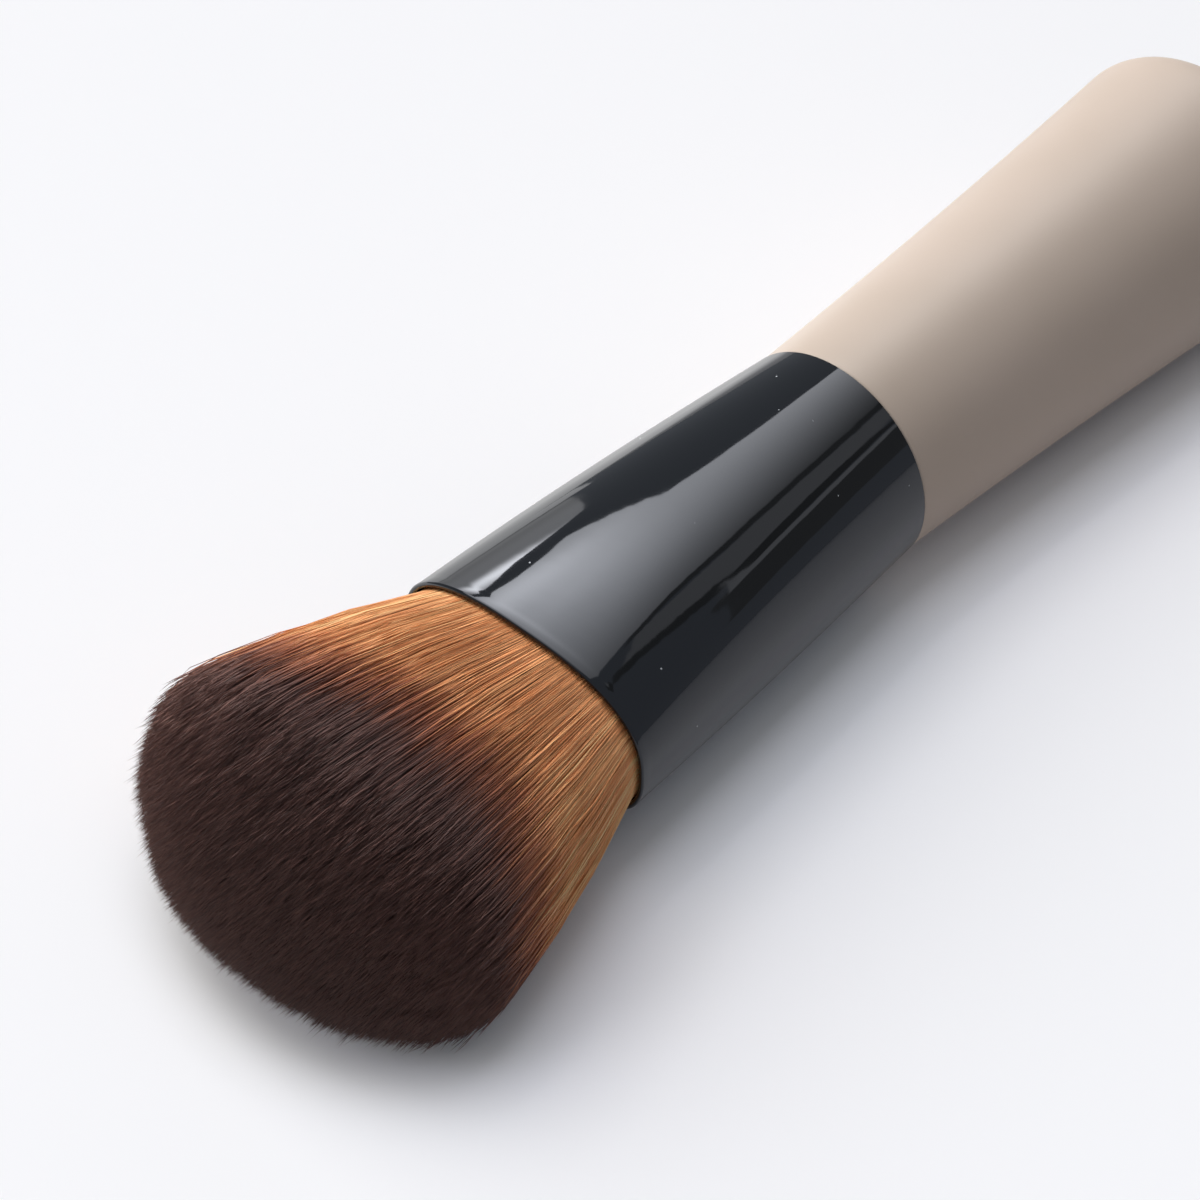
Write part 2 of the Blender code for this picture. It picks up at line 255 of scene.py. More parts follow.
# Ferrule: a drawn sleeve from a circle at the handle to an oval at the mouth
ferrule = {
    "radius": 10.25 * mm,
    "mouthHalfWidth": 13.1 * mm,
    "mouthHalfThickness": 7.8 * mm,
    "mouthExponent": 2.57,
    "flatteningPower": 2.6,
    "wall": 0.45 * mm,
    "lipSwell": 0.03 * mm,
    "lipLength": 0.9 * mm,
    "lipSteps": 12,
    "outerRings": 90,
    "innerRings": 30,
    "steps": 240,
    "sharpAngle": 50,
    "black": "#0B0D0E",
    "glossTint": "#E6EAF5",
    "ior": 1.6,
    "waveSize": 9.0 * mm,         # the drawn sleeve's slow waviness
    "waveDepth": 0.02 * mm,
    "swirlSize": 1.1 * mm,        # faint marks of the polishing wheel
    "swirlRings": 0.3,            # the wave texture's scale for rings one swirlSize apart
    "swirlDistortion": 6.0,
    "swirlDepth": 0.0006 * mm,
    "smearSize": 3.333 * mm,      # faint smears in the gloss
    "roughness": (0.02, 0.07),
    "dustPitch": 2.5 * mm,
    "dustShare": 0.032,           # a speck's radius, as a share of the pitch
    "dust": "#B9BCC0",
}


def sectionAt(y):  # half width, half thickness and exponent of the ferrule's outside
    share = (ferruleEndY - y) / (ferruleEndY - mouthY)
    share = min(max(share, 0), 1)
    halfWidth = ferrule["radius"] + (ferrule["mouthHalfWidth"] - ferrule["radius"]) * share
    drop = ferrule["mouthHalfThickness"] - ferrule["radius"]
    halfThickness = ferrule["radius"] + drop * share ** ferrule["flatteningPower"]
    return halfWidth, halfThickness, 2 + (ferrule["mouthExponent"] - 2) * share


def ovalRing(y, inset):
    halfWidth, halfThickness, exponent = sectionAt(y)
    angle = np.arange(ferrule["steps"]) * math.tau / ferrule["steps"]
    cosine, sine = np.cos(angle), np.sin(angle)
    x = (halfWidth - inset) * np.sign(cosine) * np.abs(cosine) ** (2 / exponent)
    z = (halfThickness - inset) * np.sign(sine) * np.abs(sine) ** (2 / exponent)
    return [(a, y, axisHeight + b) for a, b in zip(x, z)]


def blackMaterial():  # black lacquer baked on drawn aluminium: mirror bright, slow waves, a little dust
    material, tree, surface = newMaterial("gloss_black_lacquer_baked")
    place = addNode(tree, "ShaderNodeTexCoord").outputs["Object"]
    wave = addNode(tree, "ShaderNodeTexNoise", inputs={
        "Vector": place, "Scale": 1 / ferrule["waveSize"], "Detail": 3.0})
    bump = addNode(tree, "ShaderNodeBump", inputs={
        "Height": wave.outputs["Fac"], "Strength": 1.0, "Distance": ferrule["waveDepth"]})
    swirl = addNode(tree, "ShaderNodeTexWave", {"wave_type": "RINGS"}, {
        "Vector": place, "Scale": ferrule["swirlRings"] / ferrule["swirlSize"],
        "Distortion": ferrule["swirlDistortion"], "Detail": 2.0})
    fine = addNode(tree, "ShaderNodeBump", inputs={
        "Height": swirl.outputs["Fac"], "Normal": bump.outputs["Normal"],
        "Strength": 1.0, "Distance": ferrule["swirlDepth"]})
    tree.links.new(fine.outputs["Normal"], surface.inputs["Normal"])
    smear = addNode(tree, "ShaderNodeTexNoise", inputs={
        "Vector": place, "Scale": 1 / ferrule["smearSize"], "Detail": 4.0})
    smoothest, roughest = ferrule["roughness"]
    rough = addNode(tree, "ShaderNodeMapRange", inputs={
        "Value": smear.outputs["Fac"], "To Min": smoothest, "To Max": roughest})
    tree.links.new(rough.outputs["Result"], surface.inputs["Roughness"])
    dust = addNode(tree, "ShaderNodeTexVoronoi", inputs={
        "Vector": place, "Scale": 1 / ferrule["dustPitch"]})
    speck = addNode(tree, "ShaderNodeMath", {"operation": "LESS_THAN"}, {
        0: dust.outputs["Distance"], 1: ferrule["dustShare"]})
    tone = addNode(tree, "ShaderNodeMix", {"data_type": "RGBA"}, {
        "Factor": speck.outputs["Value"], "A": linear(ferrule["black"]), "B": linear(ferrule["dust"])})
    tree.links.new(tone.outputs["Result"], surface.inputs["Base Color"])
    surface.inputs["Specular Tint"].default_value = linear(ferrule["glossTint"])
    surface.inputs["IOR"].default_value = ferrule["ior"]
    return material


def makeFerrule():
    body = ferruleEndY - mouthY - ferrule["lipLength"]
    lipRadius = (ferrule["wall"] + ferrule["lipSwell"]) / 2
    rings = []
    for step in range(ferrule["outerRings"] + 1):
        rings.append(ovalRing(ferruleEndY - body * step / ferrule["outerRings"], 0))
    for step in range(ferrule["lipSteps"] + 1):
        angle = math.pi * step / ferrule["lipSteps"]
        inset = lipRadius - ferrule["lipSwell"] - lipRadius * math.cos(angle)
        rings.append(ovalRing(mouthY + lipRadius - lipRadius * math.sin(angle), inset))
    for step in range(ferrule["innerRings"] + 1):
        y = mouthY + ferrule["lipLength"] + body * step / ferrule["innerRings"]
        rings.append(ovalRing(y, ferrule["wall"]))
    shape = bmesh.new()
    levels = [[shape.verts.new(point) for point in ring] for ring in rings]
    for low, high in zip(levels, levels[1:] + levels[:1]):
        for step in range(ferrule["steps"]):
            after = (step + 1) % ferrule["steps"]
            shape.faces.new((low[step], low[after], high[after], high[step]))
    mesh = smoothMesh("ferrule_sleeve", shape, ferrule["sharpAngle"])
    piece = addObject("ferrule_sleeve", mesh, blackMaterial())
    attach(piece, "root")
    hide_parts("ferrule")


makeFerrule()
print("ferrule made")


# Hair: tapered synthetic fibres, spread from the mouth to a belly and cut to a dome
hair = {
    "count": 90000,
    "perPiece": 6000,
    "radius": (0.04 * mm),
    "sides": 3,
    "thinning": 0.75,             # of the radius, at the last ring before the point
    "rootDepth": 1.2 * mm,
    "rootInset": 0.15 * mm,
    "rootJitter": 0.42,           # of the pitch
    "halfWidth": 18.0 * mm,
    "halfThickness": 12.3 * mm,
    "belly": 21.5 * mm,
    "spreadPower": 1.42,
    "domePower": 1.8,
    "levels": (0.0, 0.32, 0.6, 0.83, 0.95, 1.0),  # rings along a strand, and its point
    "bend": 0.10 * mm,
    "strayShare": 0.02,
    "strayWander": 0.5 * mm,
    "strayLength": 0.25 * mm,
    "wander": 0.5 * mm,
    "wanderPower": 1.3,
    "clump": (0.3 * mm, 22),      # sideways reach, and how often it turns across the oval
    "wisp": (0.2 * mm, 75),
    "waves": (7, 0.6, 1.6),       # how many make up a clump's pattern, and how their rates vary
    "lengthSpread": 1.3 * mm,
    "lengthAdded": 0.35 * mm,
    "tableGap": 0.02 * mm,
    "paintedLightLeftLate": 3.0 * mm,         # painted light: the dye starts higher on the lit left side, so those strands stay lighter; it also starts higher on the outer strands
    "edgeLate": (3.5 * mm, 6),    # how much, and how close to the edge
    "lateSpread": 1.1 * mm,
    "dyeEnd": 0.75,               # the dye's place at the last ring; the point itself is at 1
    # painted light: the last stop makes the points lighter, a painted highlight on the fibre ends
    "dye": ((0.0, "#E29D66"), (0.20, "#E29D66"), (0.29, "#A05E40"), (0.39, "#66463F"),
            (0.75, "#66463F"), (1.0, "#7C594F")),
    "pale": "#D9B68E",            # pale strands where they aren't dyed: their own random tone, and a painted sheen at the two edges
    "paleShare": 0.65,
    "paleFrom": 0.5,
    "dyedFrom": 0.24,
    "dyedTo": 0.36,
    "paleWhereDyed": 0.07,
    "lightness": (0.37, 2.05),    # from the darkest strand to the lightest
    "lightest": 0.95,
    "roughness": 0.45,
    "ior": 1.5,
    "tone": (0.085, 0.5),         # where strand tones start, and how far they vary
    "undersidePaintedShade": 0.1,             # painted shade: darker there
    "rightPaintedSheen": (0.29, 4),       # painted light, lighter at the two edges: a painted sheen at the right, painted key light at the left; how much, and how close to the edge
    "leftPaintedLight": (0.35, 1.2),
    "bakeWidth": 0.004,           # each strand's width in its map, so that a baked copy keeps its colour
    "seed": 11,
    "sidewaysSeeds": (21, 23),
}


def hairMaterial():  # PBT fibre, drawn and tapered: orange at the root, dipped dark brown at the tips
    material, tree, surface = newMaterial("two_tone_fibre_drawn")
    along = addNode(tree, "ShaderNodeUVMap", {"uv_map": "OFBake"})
    parts = addNode(tree, "ShaderNodeSeparateXYZ", inputs={"Vector": along.outputs["UV"]})
    strandTone, dyePlace = parts.outputs["X"], parts.outputs["Y"]
    dyed = addNode(tree, "ShaderNodeValToRGB", inputs={"Fac": dyePlace})
    setRamp(dyed, hair["dye"])
    # paler strands where undyed: their own random tone, and a painted sheen at the two edges
    paleAndSheen = addNode(tree, "ShaderNodeMapRange", inputs={
        "Value": strandTone, "From Min": hair["paleFrom"], "To Max": hair["paleShare"]})
    undyed = addNode(tree, "ShaderNodeMapRange", inputs={
        "Value": dyePlace, "From Min": hair["dyedFrom"], "From Max": hair["dyedTo"],
        "To Min": 1.0, "To Max": hair["paleWhereDyed"]})
    paleAndSheenShare = addNode(tree, "ShaderNodeMath", {"operation": "MULTIPLY"}, {
        0: paleAndSheen.outputs["Result"], 1: undyed.outputs["Result"]})
    faded = addNode(tree, "ShaderNodeMix", {"data_type": "RGBA"}, {
        "Factor": paleAndSheenShare.outputs["Value"], "A": dyed.outputs["Color"], "B": linear(hair["pale"])})
    darkest, lightest = hair["lightness"]
    # the strand tone carries painted light at the edges and painted shade underneath, besides random tone
    lightness = addNode(tree, "ShaderNodeMapRange", inputs={
        "Value": strandTone, "To Min": darkest, "To Max": lightest})
    tone = addNode(tree, "ShaderNodeVectorMath", {"operation": "SCALE"}, {
        0: faded.outputs["Result"], "Scale": lightness.outputs["Result"]})
    limited = addNode(tree, "ShaderNodeVectorMath", {"operation": "MINIMUM"}, {
        0: tone.outputs["Vector"], 1: (hair["lightest"],) * 3})
    tree.links.new(limited.outputs["Vector"], surface.inputs["Base Color"])
    surface.inputs["Roughness"].default_value = hair["roughness"]
    surface.inputs["IOR"].default_value = hair["ior"]
    return material


def hairRoots(count, randomness):  # an even but irregular layout in the unit oval
    power = ferrule["mouthExponent"]
    ovalArea = 3.4  # of the unit oval with that exponent
    rowHeight = math.sqrt(3) / 2
    pitch = math.sqrt(ovalArea / count / rowHeight)
    rows = int(1 / (pitch * rowHeight)) + 2
    columns = int(1 / pitch) + 2
    rowPlaces, columnPlaces = np.arange(-rows, rows + 1), np.arange(-columns, columns + 1)
    row, column = np.meshgrid(rowPlaces, columnPlaces, indexing="ij")
    x = (column + (row % 2) / 2) * pitch
    y = row * pitch * rowHeight
    jitter = hair["rootJitter"]
    x = x + randomness.uniform(-jitter, jitter, x.shape) * pitch
    y = y + randomness.uniform(-jitter, jitter, y.shape) * pitch
    rim = (np.abs(x) ** power + np.abs(y) ** power) ** (1 / power)
    keep = rim <= 1
    return x[keep], y[keep], rim[keep]


def smoothNoise(x, y, seed, scale):  # a sum of a few slow waves over the oval, about -1 to 1
    waves = np.random.default_rng(seed)
    total = np.zeros_like(x)
    waveCount, slowest, fastest = hair["waves"]
    for _ in range(waveCount):
        direction = waves.uniform(0, math.tau)
        rate = scale * waves.uniform(slowest, fastest)
        phase = waves.uniform(0, math.tau)
        total += np.sin((x * math.cos(direction) + y * math.sin(direction)) * rate + phase)
    return total / (waveCount / 2)


def strandCentres(u, v, rim, randomness):  # heights above the mouth, and the strands' middle lines
    count = len(u)
    length = mouthY - tipY
    belly = hair["belly"]
    dome = (1 - np.minimum(rim, 1) ** hair["domePower"]) ** (1 / hair["domePower"])
    tip = belly + (length - belly) * dome
    tip += hair["lengthAdded"] - np.abs(randomness.normal(0, hair["lengthSpread"], count))
    stray = randomness.uniform(0, 1, count) < hair["strayShare"]
    tip += stray * randomness.exponential(hair["strayLength"], count)
    heights = np.concatenate([np.full((count, 1), -hair["rootDepth"]), np.outer(tip, hair["levels"])], 1)
    mouthWidth = ferrule["mouthHalfWidth"] - ferrule["wall"] - hair["rootInset"]
    mouthThickness = ferrule["mouthHalfThickness"] - ferrule["wall"] - hair["rootInset"]
    inner = np.clip(heights / belly, 0, 1)
    spread = 1 - (1 - inner) ** hair["spreadPower"]
    x = u[:, None] * (mouthWidth + (hair["halfWidth"] - mouthWidth) * spread)
    z = v[:, None] * (mouthThickness + (hair["halfThickness"] - mouthThickness) * spread)
    reach = np.clip(heights / length, 0, 1) ** hair["wanderPower"]
    wander = np.where(stray, hair["strayWander"], hair["wander"])[:, None]
    (clump, clumpRate), (wisp, wispRate) = hair["clump"], hair["wisp"]
    for sideways, seed in zip((x, z), hair["sidewaysSeeds"]):
        slow = smoothNoise(u, v, seed, clumpRate) * clump + smoothNoise(u, v, seed + 1, wispRate) * wisp
        sideways += (slow[:, None] + randomness.normal(0, 1, (count, 1)) * wander) * reach
        sideways += randomness.normal(0, hair["bend"], heights.shape) * (heights > 0)
    sag = (axisHeight - hair["halfThickness"]) * np.clip(heights, 0, None) / belly
    return heights, np.stack([x, mouthY - heights, axisHeight + z - sag], -1)


def strandPoints(centre, randomness):  # rings round the middle line, and the point
    count, levels = centre.shape[:2]
    radius = np.full((count, levels), hair["radius"])
    radius[:, -2] *= hair["thinning"]
    turn = randomness.uniform(0, math.tau, count)
    angle = turn[:, None] + np.arange(hair["sides"])[None, :] * math.tau / hair["sides"]
    outward = np.stack([np.cos(angle), np.zeros_like(angle), np.sin(angle)], -1)
    rings = centre[:, :-1, None, :] + radius[:, :-1, None, None] * outward[:, None, :, :]
    points = np.concatenate([rings.reshape(count, -1, 3), centre[:, -1:, :]], 1)
    points[..., 2] = np.maximum(points[..., 2], hair["tableGap"])
    return points


def strandFaces(levels):  # one strand's triangles
    sides = hair["sides"]
    faces = []
    for level in range(levels - 2):
        for side in range(sides):
            after = (side + 1) % sides
            low, high = level * sides, (level + 1) * sides
            faces.append((low + side, high + side, high + after))
            faces.append((low + side, high + after, low + after))
    last = (levels - 2) * sides
    for side in range(sides):
        faces.append((last + side, last + sides, last + (side + 1) % sides))
    return np.array(faces)


def strandMap(u, v, heights, randomness):  # U is the strand's tone, with painted light at the edges and painted shade underneath; V the place along the dye
    count, levels = heights.shape
    sides = hair["sides"]
    (toneStart, toneSpread), bakeWidth = hair["tone"], hair["bakeWidth"]
    (right, rightPower), (left, leftPower) = hair["rightPaintedSheen"], hair["leftPaintedLight"]
    tone = toneStart + toneSpread * randomness.uniform(0, 1, count)
    # painted shade: the strands underneath are darker
    tone -= hair["undersidePaintedShade"] * np.clip(-v, 0, 1)
    # painted light: the edge strands are lighter
    tone += right * np.clip(u, 0, 1) ** rightPower + left * np.clip(-u, 0, 1) ** leftPower
    tone = np.clip(tone, bakeWidth, 1 - bakeWidth)
    across = np.append(np.tile(np.arange(sides) - 1, levels - 1), 0) * bakeWidth
    dye = np.concatenate([np.repeat(heights[:, :-1], sides, axis=1), heights[:, -1:]], 1)
    edgeLate, edgePower = hair["edgeLate"]
    # painted light: on the lit left side the dye starts later
    late = hair["paintedLightLeftLate"] * np.clip(-u, 0, 1) + edgeLate * np.abs(u) ** edgePower
    late += randomness.normal(0, hair["lateSpread"], count)
    dye = np.clip((dye - late[:, None]) / (mouthY - tipY), 0, 1) * hair["dyeEnd"]
    dye[:, -1] = 1
    return np.stack([tone[:, None] + across[None, :], dye], -1)


def makeHair():
    randomness = np.random.default_rng(hair["seed"])
    u, v, rim = hairRoots(hair["count"], randomness)
    order = randomness.permutation(len(u))
    u, v, rim = u[order], v[order], rim[order]
    heights, centre = strandCentres(u, v, rim, randomness)
    points = strandPoints(centre, randomness)
    uv = strandMap(u, v, heights, randomness)
    faces = strandFaces(heights.shape[1])
    count, perStrand = points.shape[:2]
    material = hairMaterial()
    for place, start in enumerate(range(0, count, hair["perPiece"])):
        name = f"hair_{place + 1}"
        stop = min(start + hair["perPiece"], count)
        corner = (faces[None, :, :] + (np.arange(stop - start) * perStrand)[:, None, None]).reshape(-1)
        triangles = len(corner) // 3
        mesh = bpy.data.meshes.new(name)
        mesh.vertices.add((stop - start) * perStrand)
        mesh.vertices.foreach_set("co", points[start:stop].reshape(-1))
        mesh.loops.add(len(corner))
        mesh.loops.foreach_set("vertex_index", corner)
        mesh.polygons.add(triangles)
        mesh.polygons.foreach_set("loop_start", np.arange(0, len(corner), 3))
        mesh.polygons.foreach_set("use_smooth", np.ones(triangles, bool))
        layer = mesh.uv_layers.new(name="OFBake")
        layer.data.foreach_set("uv", uv[start:stop].reshape(-1, 2)[corner].reshape(-1))
        mesh.update()
        mesh.validate()
        piece = addObject(name, mesh, material)
        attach(piece, "root")
        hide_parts("tuft")
    print("hair made, strands:", count)


makeHair()


# Hidden pieces: they keep their own solids and get a finish
hidden = {
    "grain": (0.4, 0.05 * mm),    # strength and depth
    "finishes": {                 # node: (name, colour, roughness, size of the grain)
        "glue_plug": ("resin_cast", "#D9CDA8", 0.25, 2.5 * mm),
        "root_binding": ("cotton_thread_twisted", "#E9E4D8", 0.9, 0.333 * mm),
        "tenon_glue": ("glue_cured", "#E6DFC6", 0.35, 1.43 * mm),
    },
}


def hiddenMaterial(name, colour, roughness, grainSize):  # resin, thread or glue: one tone, a fine grain
    material, tree, surface = newMaterial(name)
    place = addNode(tree, "ShaderNodeTexCoord")
    noise = addNode(tree, "ShaderNodeTexNoise", inputs={
        "Vector": place.outputs["Object"], "Scale": 1 / grainSize, "Detail": 3.0})
    strength, depth = hidden["grain"]
    bump = addNode(tree, "ShaderNodeBump", inputs={
        "Height": noise.outputs["Fac"], "Strength": strength, "Distance": depth})
    tree.links.new(bump.outputs["Normal"], surface.inputs["Normal"])
    surface.inputs["Base Color"].default_value = linear(colour)
    surface.inputs["Roughness"].default_value = roughness
    return material


for node, finish in hidden["finishes"].items():
    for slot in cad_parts[node].material_slots:
        slot.material = hiddenMaterial(*finish)
print("hidden pieces finished")


# Table and studio light: cards in a plane over the ferrule, where the photograph's ferrule mirrors them.
# A card's corners are shares of the plane's height, from the ferrule's middle; a glow is one level, or
# spots of (place, spread, level); a lamp is (place, size, power, colour), in metres and watts.
studio = {
    "tableSize": 4.0,
    "tableColour": "#F7F7F9",
    "tableBounce": "#A69C94",
    "tableMirrored": "#D9D9DB",
    "tableRoughness": 0.6,
    "shine": (0.85, 1.5),         # a painted reflection: the table's left side glows in the ferrule, near the brush and farther left
    "shineX": (-0.03, -0.06),
    "shineSlant": 0.53,           # its end runs aslant, so that the handle doesn't mirror it
    "shineEnd": (0.005, 0.03),
    "farTable": (0.25, 0.6),
    "backdrop": "#F7F7F9",
    "planeHeight": 1.0,
    "room": 0.28,
    "roomMirrored": 0.375,
    "roomColour": "#ECF3FF",
    # the main softbox, the broad reflection on top
    "key": ((-0.63, 1.0), (-0.68, 0.62), (-1.05, 0.60), (-0.97, 0.52), (-0.93, 0.44), (-1.3, 0.1),
            (-1.3, -1.0), (-0.3, -1.0), (0.06, 0.36), (0.09, 0.46), (0.22, 0.65), (0.40, 1.0)),
    "keyGlow": (((-0.9, 0.55), (0.60, 0.69), 4.2), ((-0.76, 0.37), (0.14, 0.11), 3.45),
                ((-0.45, 0.40), (0.2, 0.09), 1.05), ((-0.9, -0.45), (0.35, 0.28), 1.5)),
    # the long softbox at the left, the bright edge
    "side": ((-7.0, 4.0), (-3.2, 1.83), (-2.5, 1.43), (-2.0, 1.15), (-1.5, 0.87), (-1.35, 0.73),
             (-1.25, 0.59), (-1.10, 0.46), (-1.25, 0.25), (-3.2, 0.9), (-7.0, 1.9)),
    "sideGlow": (((-1.3, 0.50), (1.6, 1.6), 1.73), ((-5.0, 2.4), (1.5, 1.5), 1.15),
                 ((-1.24, 0.58), (0.2, 0.09), 9.5)),
    # a dark flag at the right, and a dim reflector between it and the main softbox
    "flag": ((0.92, 0.86), (1.0, 0.90), (2.8, 2.17), (2.8, 2.9), (1.12, 1.45), (1.05, 1.15)),
    "flagGlow": 0.195,
    "dim": ((0.10, 0.38), (0.26, 0.60), (0.52, 1.05), (0.85, 1.2), (0.80, 0.88), (0.28, 0.38)),
    "dimGlow": 0.62,
    # the reflector's dark edges, and the light streak beside it
    "gap": ((0.06, 0.36), (0.09, 0.46), (0.17, 0.57), (0.25, 0.72), (0.40, 1.0), (0.48, 1.0), (0.34, 0.74),
            (0.25, 0.60), (0.14, 0.47), (0.10, 0.36)),
    "gapGlow": 0.165,
    "frame": ((0.20, 0.35), (0.36, 0.50), (0.52, 0.65), (0.66, 0.77), (0.70, 0.95), (0.78, 1.12),
              (0.97, 1.34), (0.92, 1.05), (0.88, 0.89), (0.76, 0.79), (0.57, 0.62), (0.42, 0.49),
              (0.28, 0.36)),
    "frameGlow": 0.135,
    "streak": ((0.60, 0.70), (0.75, 0.81), (0.88, 0.92), (0.95, 1.12), (1.02, 1.40), (1.13, 1.40),
               (1.10, 1.2), (1.0, 0.93), (0.76, 0.79)),
    "streakGlow": 0.83,
    # how far each card hangs below the plane, so that the later ones cover the earlier, in metres
    "cardDrops": {"key": 0, "side": 0, "flag": 0, "dim": 0.005, "gap": 0.01, "frame": 0.015,
                  "streak": 0.02},
    "wall": ((-1.9, 0.3), (-1.9, 1.13)),
    "wallHeight": 0.28,
    "wallGlow": 1.6,
    "topLamp": ((-0.04, -0.32, 2.03), (2.52, 0.84), 14.8, "#FFFFFC"),
    "sideLamp": ((-2.54, -2.68, 2.0), (4.48, 6.54), 144.5, "#FFFBF0"),
    "overLamp": ((0.0, 0.0, 1.97), (0.9, 0.9), 8.8, "#EFF2FF"),
    "frontLamp": ((-0.6, -1.6, 1.94), (0.9, 0.9), 6.2, "#DADDFF"),
    "leftLamp": ((-1.4, 0.0, 0.45), (0.6, 0.6), 16.0, "#FFFFFF"),
}


def tableMaterial():  # matte white laminate: plain white, but it throws less light at the brush
    material, tree, surface = newMaterial("white_laminate_matte")
    ray = addNode(tree, "ShaderNodeLightPath").outputs
    thrown = addNode(tree, "ShaderNodeMix", {"data_type": "RGBA"}, {
        "Factor": ray["Is Diffuse Ray"],
        "A": linear(studio["tableColour"]), "B": linear(studio["tableBounce"])})
    tone = addNode(tree, "ShaderNodeMix", {"data_type": "RGBA"}, {
        "Factor": ray["Is Glossy Ray"],
        "A": thrown.outputs["Result"], "B": linear(studio["tableMirrored"])})
    tree.links.new(tone.outputs["Result"], surface.inputs["Base Color"])
    surface.inputs["Roughness"].default_value = studio["tableRoughness"]
    place = addNode(tree, "ShaderNodeTexCoord").outputs["Object"]
    parts = addNode(tree, "ShaderNodeSeparateXYZ", inputs={"Vector": place}).outputs
    # painted reflection: the table's left side glows in reflections only, where the ferrule's left flank
    # mirrors it
    (near, far), (dim, bright) = studio["shineX"], studio["shine"]
    level = addNode(tree, "ShaderNodeMapRange", inputs={
        "Value": parts["X"], "From Min": near, "From Max": far, "To Min": dim, "To Max": bright})
    shine = addNode(tree, "ShaderNodeEmission", inputs={"Strength": level.outputs["Result"]})
    slanted = addNode(tree, "ShaderNodeMath", {"operation": "MULTIPLY_ADD"}, {
        0: parts["X"], 1: studio["shineSlant"], 2: parts["Y"]})
    full, none = (ferruleEndY + beyond for beyond in studio["shineEnd"])
    beside = addNode(tree, "ShaderNodeMapRange", inputs={
        "Value": slanted.outputs["Value"], "From Min": full, "From Max": none,
        "To Min": 1.0, "To Max": 0.0})
    onLeft = addNode(tree, "ShaderNodeMath", {"operation": "LESS_THAN"}, {0: parts["X"], 1: 0.0})
    lit = addNode(tree, "ShaderNodeMath", {"operation": "MULTIPLY"}, {
        0: beside.outputs["Result"], 1: onLeft.outputs["Value"]})
    share = addNode(tree, "ShaderNodeMath", {"operation": "MULTIPLY"}, {
        0: lit.outputs["Value"], 1: ray["Is Glossy Ray"]})
    mirrored = addNode(tree, "ShaderNodeMixShader", inputs={
        0: share.outputs["Value"], 1: surface.outputs["BSDF"], 2: shine.outputs["Emission"]})
    material.cycles.emission_sampling = "NONE"
    # far from the brush the table fades into the white backdrop
    away = addNode(tree, "ShaderNodeVectorMath", {"operation": "LENGTH"}, {0: place})
    near, far = studio["farTable"]
    faded = addNode(tree, "ShaderNodeMapRange", inputs={
        "Value": away.outputs["Value"], "From Min": near, "From Max": far})
    seen = addNode(tree, "ShaderNodeMath", {"operation": "MULTIPLY"}, {
        0: faded.outputs["Result"], 1: ray["Is Camera Ray"]})
    backdrop = addNode(tree, "ShaderNodeEmission", inputs={"Color": linear(studio["backdrop"])})
    mixed = addNode(tree, "ShaderNodeMixShader", inputs={
        0: seen.outputs["Value"], 1: mirrored.outputs["Shader"], 2: backdrop.outputs["Emission"]})
    tree.links.new(mixed.outputs["Shader"], tree.nodes["Material Output"].inputs["Surface"])
    return material


def makeTable():
    bpy.ops.mesh.primitive_plane_add(size=studio["tableSize"], location=(0, 0, 0))
    table = bpy.context.object
    table.name = "table"
    table.data.materials.append(tableMaterial())
    return table


def inPlane(place, drop=0):
    height = studio["planeHeight"]
    return place[0] * height, ferruleMiddleY + place[1] * height, axisHeight + height - drop


def glowMaterial(name, glows):  # a diffuser lit from behind: brightest before its lamps, fading round them
    material = bpy.data.materials.new(name)
    material.use_nodes = True
    tree = material.node_tree
    tree.nodes.clear()
    glow = addNode(tree, "ShaderNodeEmission")
    addNode(tree, "ShaderNodeOutputMaterial", inputs={"Surface": glow.outputs["Emission"]})
    if isinstance(glows, float):
        glow.inputs["Strength"].default_value = glows
        return material
    place = addNode(tree, "ShaderNodeNewGeometry").outputs["Position"]
    total = 0.0
    for spot, spread, level in glows:  # a bell curve round each spot
        offset = addNode(tree, "ShaderNodeVectorMath", {"operation": "SUBTRACT"}, {
            0: place, 1: inPlane(spot)})
        narrow = [1 / (math.sqrt(2) * share * studio["planeHeight"]) for share in spread]
        scaled = addNode(tree, "ShaderNodeVectorMath", {"operation": "MULTIPLY"}, {
            0: offset.outputs["Vector"], 1: (narrow[0], narrow[1], 0)}).outputs["Vector"]
        square = addNode(tree, "ShaderNodeVectorMath", {"operation": "DOT_PRODUCT"}, {
            0: scaled, 1: scaled})
        minus = addNode(tree, "ShaderNodeMath", {"operation": "MULTIPLY"}, {
            0: square.outputs["Value"], 1: -1.0})
        fade = addNode(tree, "ShaderNodeMath", {"operation": "EXPONENT"}, {0: minus.outputs["Value"]})
        total = addNode(tree, "ShaderNodeMath", {"operation": "MULTIPLY_ADD"}, {
            0: fade.outputs["Value"], 1: level, 2: total}).outputs["Value"]
    tree.links.new(total, glow.inputs["Strength"])
    return material


def addCard(name, points):
    shape = bmesh.new()
    shape.faces.new([shape.verts.new(point) for point in points])
    mesh = bpy.data.meshes.new(name)
    shape.to_mesh(mesh)
    shape.free()
    card = addObject(f"{name}_card", mesh, glowMaterial(f"{name}_glow", studio[f"{name}Glow"]))
    card.visible_camera = False
    card.visible_shadow = False
    return card


def wallPoints():  # a low card at the table's left end, which the ferrule's flank mirrors
    (nearX, nearY), (farX, farY) = studio["wall"]
    near = (nearX, ferruleMiddleY + nearY)
    far = (farX, ferruleMiddleY + farY)
    top = axisHeight + studio["wallHeight"]
    return [(*near, 0), (*far, 0), (*far, top), (*near, top)]


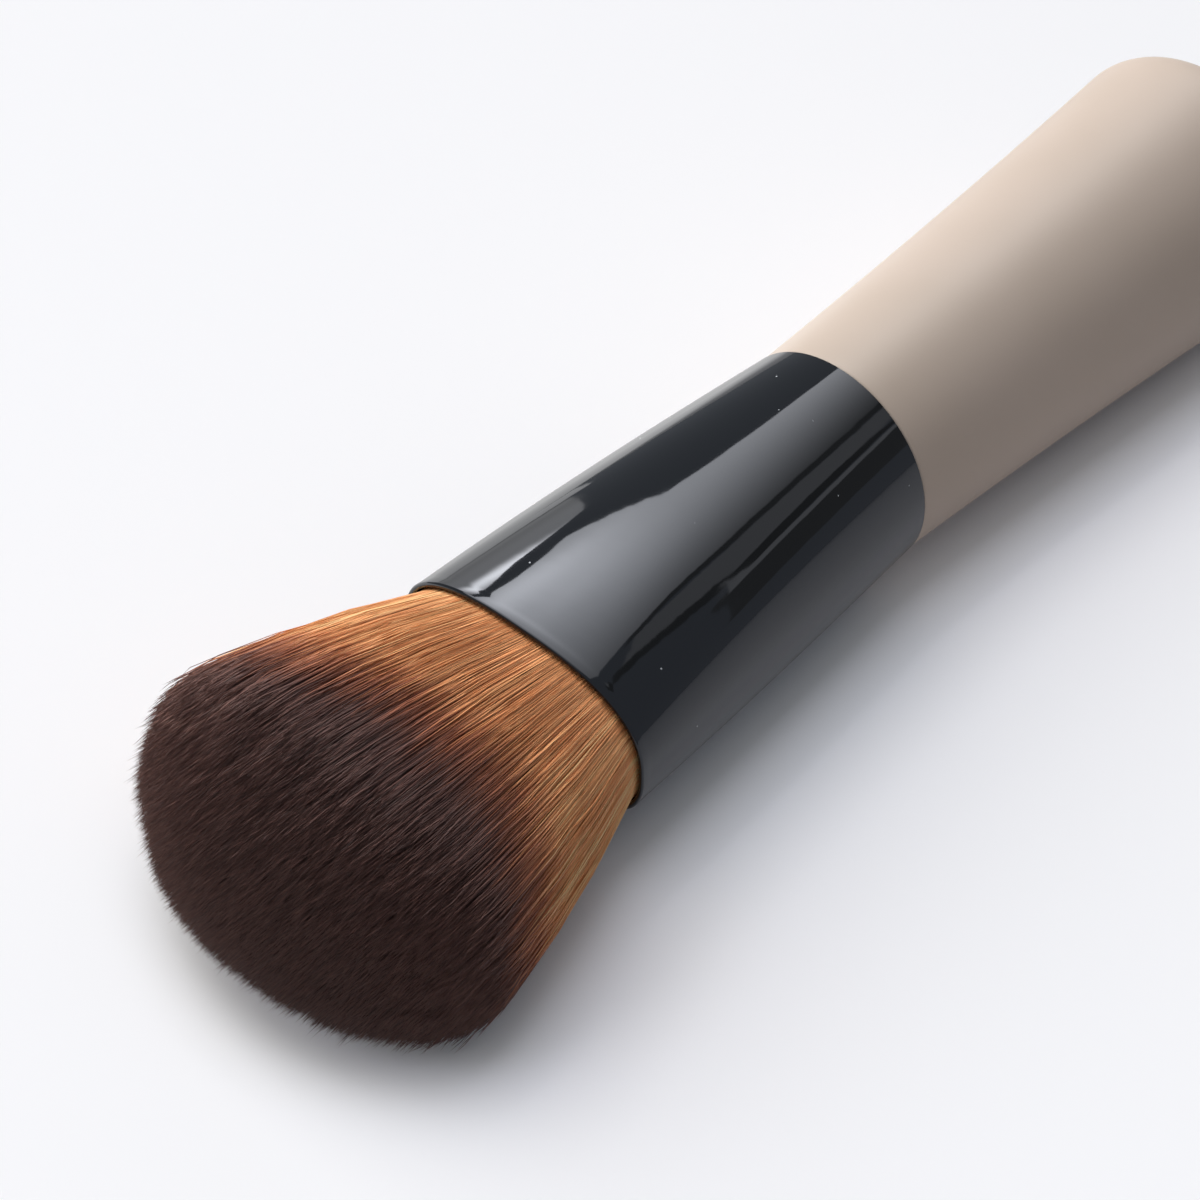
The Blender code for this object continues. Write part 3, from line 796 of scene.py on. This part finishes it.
def addLamp(name):  # a lamp that gives its light, but isn't mirrored
    place, size, power, colour = studio[name]
    data = bpy.data.lights.new(name, "AREA")
    data.shape = "RECTANGLE"
    data.size, data.size_y = size
    data.energy = power
    data.cycles.use_multiple_importance_sampling = False  # light linking dims the lamps' overlap otherwise
    data.color = linear(colour)[:3]
    lamp = bpy.data.objects.new(name, data)
    lamp.location = (place[0], ferruleMiddleY + place[1], place[2])
    lamp.visible_camera = False
    lamp.visible_glossy = False
    scene.collection.objects.link(lamp)
    return lamp


def linkToTable(table, things, linkState):  # INCLUDE: they light only the table; EXCLUDE: all but the table
    receivers = bpy.data.collections.new(f"table_{linkState}")
    receivers.objects.link(table)
    receivers.collection_objects[0].light_linking.link_state = linkState
    for thing in things:
        thing.light_linking.receiver_collection = receivers


def makeLight(table):
    forBrush = []
    for name, drop in studio["cardDrops"].items():
        forBrush.append(addCard(name, [inPlane(corner, drop) for corner in studio[name]]))
    forBrush.append(addCard("wall", wallPoints()))
    leftLamp = addLamp("leftLamp")
    ferruleMiddle = Vector((0, ferruleMiddleY, axisHeight))
    leftLamp.rotation_euler = (ferruleMiddle - leftLamp.location).to_track_quat("-Z", "Y").to_euler()
    forBrush.append(leftLamp)
    linkToTable(table, forBrush, "EXCLUDE")
    forTable = [addLamp(name) for name in ("topLamp", "sideLamp", "overLamp", "frontLamp")]
    linkToTable(table, forTable, "INCLUDE")


def makeRoom():  # dim walls, a little lighter in the gloss black; the camera sees the backdrop
    world = bpy.data.worlds.new("studio")
    scene.world = world
    world.use_nodes = True
    tree = world.node_tree
    ray = addNode(tree, "ShaderNodeLightPath").outputs
    strength = addNode(tree, "ShaderNodeMapRange", inputs={
        "Value": ray["Is Glossy Ray"], "To Min": studio["room"], "To Max": studio["roomMirrored"]})
    walls = tree.nodes["Background"]
    walls.inputs["Color"].default_value = linear(studio["roomColour"])
    tree.links.new(strength.outputs["Result"], walls.inputs["Strength"])
    backdrop = addNode(tree, "ShaderNodeBackground", inputs={"Color": linear(studio["backdrop"])})
    seen = addNode(tree, "ShaderNodeMixShader", inputs={
        0: ray["Is Camera Ray"], 1: walls.outputs["Background"], 2: backdrop.outputs["Background"]})
    tree.links.new(seen.outputs["Shader"], tree.nodes["World Output"].inputs["Surface"])


makeLight(makeTable())
makeRoom()
scene.view_settings.view_transform = "Standard"
print("table and light set")
